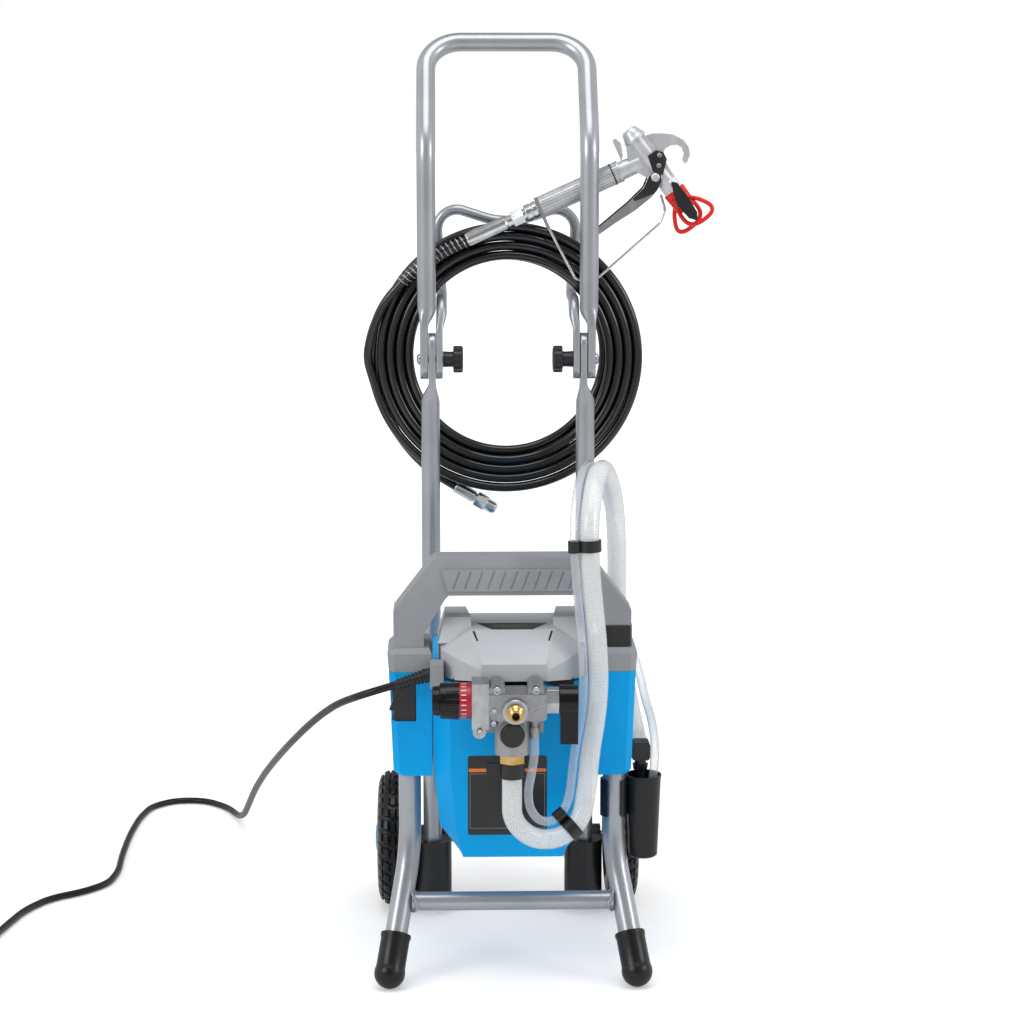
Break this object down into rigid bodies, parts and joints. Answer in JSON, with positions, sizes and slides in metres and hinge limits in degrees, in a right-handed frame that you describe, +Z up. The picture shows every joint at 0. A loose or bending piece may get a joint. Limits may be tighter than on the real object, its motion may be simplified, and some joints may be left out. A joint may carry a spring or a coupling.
{
  "type": "airless paint sprayer",
  "caption": "Electric airless paint sprayer on an upright two-wheeled cart with a folding handle, piston pump, suction hose, drip cup and a coiled paint hose with a spray gun.",
  "frame": {"origin": "centre of the bounding box at floor level, without the free cords", "axes": "+X to the viewer's right, +Y to the back of the cart, +Z up"},
  "size_m": [0.9099, 0.8583, 1.0621],
  "materials": {
    "frame_paint": "silver-grey satin powder coat",
    "foot_rubber": "black moulded rubber",
    "zinc_steel": "bright zinc plate",
    "black_plastic": "black moulded plastic",
    "tyre_rubber": "black tyre rubber",
    "blue_plastic": "blue moulded plastic, semi-gloss",
    "grey_plastic": "mid grey moulded plastic",
    "hood_plastic": "light grey moulded plastic",
    "cast_aluminium": "as-cast and machined",
    "plated_brass": "turned brass",
    "chrome_plate": "polished chrome plate",
    "gun_aluminium": "satin polished casting",
    "ring_red": "crimson printed ring",
    "hose_rubber": "black hose jacket",
    "spring_steel": "bright spring wire",
    "braided_hose": "clear hose with a white diamond braid",
    "clear_pvc": "clear pvc tube",
    "guard_red": "red moulded guard",
    "motor_steel": "black painted motor can",
    "gear_steel": "cut and hardened steel"
  },
  "bodies": {
    "cart": {"upright_left": "frame_paint", "upright_right": "frame_paint", "front_leg_left": "frame_paint", "front_leg_right": "frame_paint", "foot_caps": "foot_rubber", "crossbars": "frame_paint", "hose_hanger": "frame_paint", "joint_bolts": "zinc_steel", "axle_sleeves": "black_plastic", "axle": "zinc_steel", "motor_housing": "blue_plastic", "rear_cover": "blue_plastic", "flank_left": "blue_plastic", "flank_right": "blue_plastic", "switch_panel": "black_plastic", "carry_handle": "grey_plastic", "hood": "hood_plastic", "gearbox": "cast_aluminium", "pump_block": "cast_aluminium", "outlet_fitting": "plated_brass", "inlet_housing": "cast_aluminium", "hose_clamp": "black_plastic", "pressure_sensor": "cast_aluminium", "scale_ring": "ring_red", "prime_valve": "cast_aluminium", "motor": "motor_steel", "paint_hose_coil": "hose_rubber", "paint_hose_whip": "hose_rubber", "spring_guard": "spring_steel", "hose_end_fitting": "chrome_plate", "suction_hose": "braided_hose", "prime_tube": "clear_pvc", "inlet_strainer": "black_plastic", "drip_cup": "black_plastic", "cup_clip": "black_plastic", "hose_clips": "black_plastic", "cord_inlet": "black_plastic", "power_cord": "hose_rubber", "power_plug": "black_plastic"},
    "handle": {"folding_handle": "frame_paint", "gun_body": "gun_aluminium", "gun_grip": "gun_aluminium", "trigger_guard": "chrome_plate", "whip_fitting": "chrome_plate"},
    "knob_left": {"clamp_knob_left": "black_plastic"},
    "knob_right": {"clamp_knob_right": "black_plastic"},
    "wheel_left": {"tyre_left": "tyre_rubber", "wheel_hub_left": "blue_plastic"},
    "wheel_right": {"tyre_right": "tyre_rubber", "wheel_hub_right": "blue_plastic"},
    "pressure_dial": {"pressure_knob": "black_plastic"},
    "drain_lever": {"prime_lever": "black_plastic"},
    "inlet_button": {"prime_button": "black_plastic"},
    "rocker": {"power_switch": "black_plastic"},
    "trigger": {"gun_trigger": "chrome_plate"},
    "guard": {"tip_guard": "guard_red"},
    "tip": {"spray_tip": "black_plastic"},
    "gear": {"drive_gear": "gear_steel"},
    "rotor": {"motor_rotor": "gear_steel"},
    "piston": {"pump_piston": "gear_steel"}
  },
  "joints": [
    {"name": "handle_fold", "type": "hinge", "parent": "cart", "child": "handle", "pos_m": [-0.04214, 0.12425, 0.68], "axis": [1, 0, 0], "range_deg": [0, 105]},
    {"name": "knob_left_turn", "type": "hinge", "parent": "cart", "child": "knob_left", "pos_m": [-0.10714, 0.12425, 0.68], "axis": [1, 0, 0], "continuous": true},
    {"name": "knob_right_turn", "type": "hinge", "parent": "cart", "child": "knob_right", "pos_m": [0.02286, 0.12425, 0.68], "axis": [1, 0, 0], "continuous": true},
    {"name": "wheel_left_roll", "type": "hinge", "parent": "cart", "child": "wheel_left", "pos_m": [-0.18214, 0.16425, 0.0825], "axis": [1, 0, 0], "continuous": true},
    {"name": "wheel_right_roll", "type": "hinge", "parent": "cart", "child": "wheel_right", "pos_m": [0.09786, 0.16425, 0.0825], "axis": [1, 0, 0], "continuous": true},
    {"name": "pressure_turn", "type": "hinge", "parent": "cart", "child": "pressure_dial", "pos_m": [-0.10264, -0.19975, 0.344], "axis": [-1, 0, 0], "range_deg": [0, 270]},
    {"name": "drain_turn", "type": "hinge", "parent": "cart", "child": "drain_lever", "pos_m": [0.00616, -0.19975, 0.344], "axis": [1, 0, 0], "range_deg": [-90, 0]},
    {"name": "inlet_push", "type": "slide", "parent": "cart", "child": "inlet_button", "axis": [0, 1, 0], "range_m": [0, 0.004], "stiffness_N_per_m": 400},
    {"name": "rocker_tilt", "type": "hinge", "parent": "cart", "child": "rocker", "pos_m": [-0.16914, -0.09275, 0.32], "axis": [0, 1, 0], "range_deg": [-8, 8]},
    {"name": "trigger_pull", "type": "hinge", "parent": "handle", "child": "trigger", "pos_m": [0.13186, 0.14885, 0.893], "axis": [0, 1, 0], "range_deg": [0, 20], "stiffness_Nm_per_rad": 1, "springref_deg": -5.73},
    {"name": "guard_swivel", "type": "hinge", "parent": "handle", "child": "guard", "pos_m": [0.16422, 0.14885, 0.86491], "axis": [0.6101, 0, -0.7923], "range_deg": [-90, 60]},
    {"name": "tip_turn", "type": "hinge", "parent": "guard", "child": "tip", "pos_m": [0.16422, 0.14885, 0.86491], "axis": [0, 1, 0], "range_deg": [0, 180]},
    {"name": "gear_spin", "type": "hinge", "parent": "cart", "child": "gear", "pos_m": [-0.04214, -0.05375, 0.298], "axis": [0, 0, 1], "continuous": true},
    {"name": "rotor_spin", "type": "hinge", "parent": "cart", "child": "rotor", "pos_m": [-0.04214, -0.00575, 0.298], "axis": [0, 0, 1], "continuous": true},
    {"name": "piston_stroke", "type": "slide", "parent": "cart", "child": "piston", "axis": [0, 1, 0], "range_m": [-0.008, 0.008]}
  ],
  "couplings": [
    {"joint": "rotor_spin", "follows": "gear_spin", "ratio": -4.3333}
  ]
}
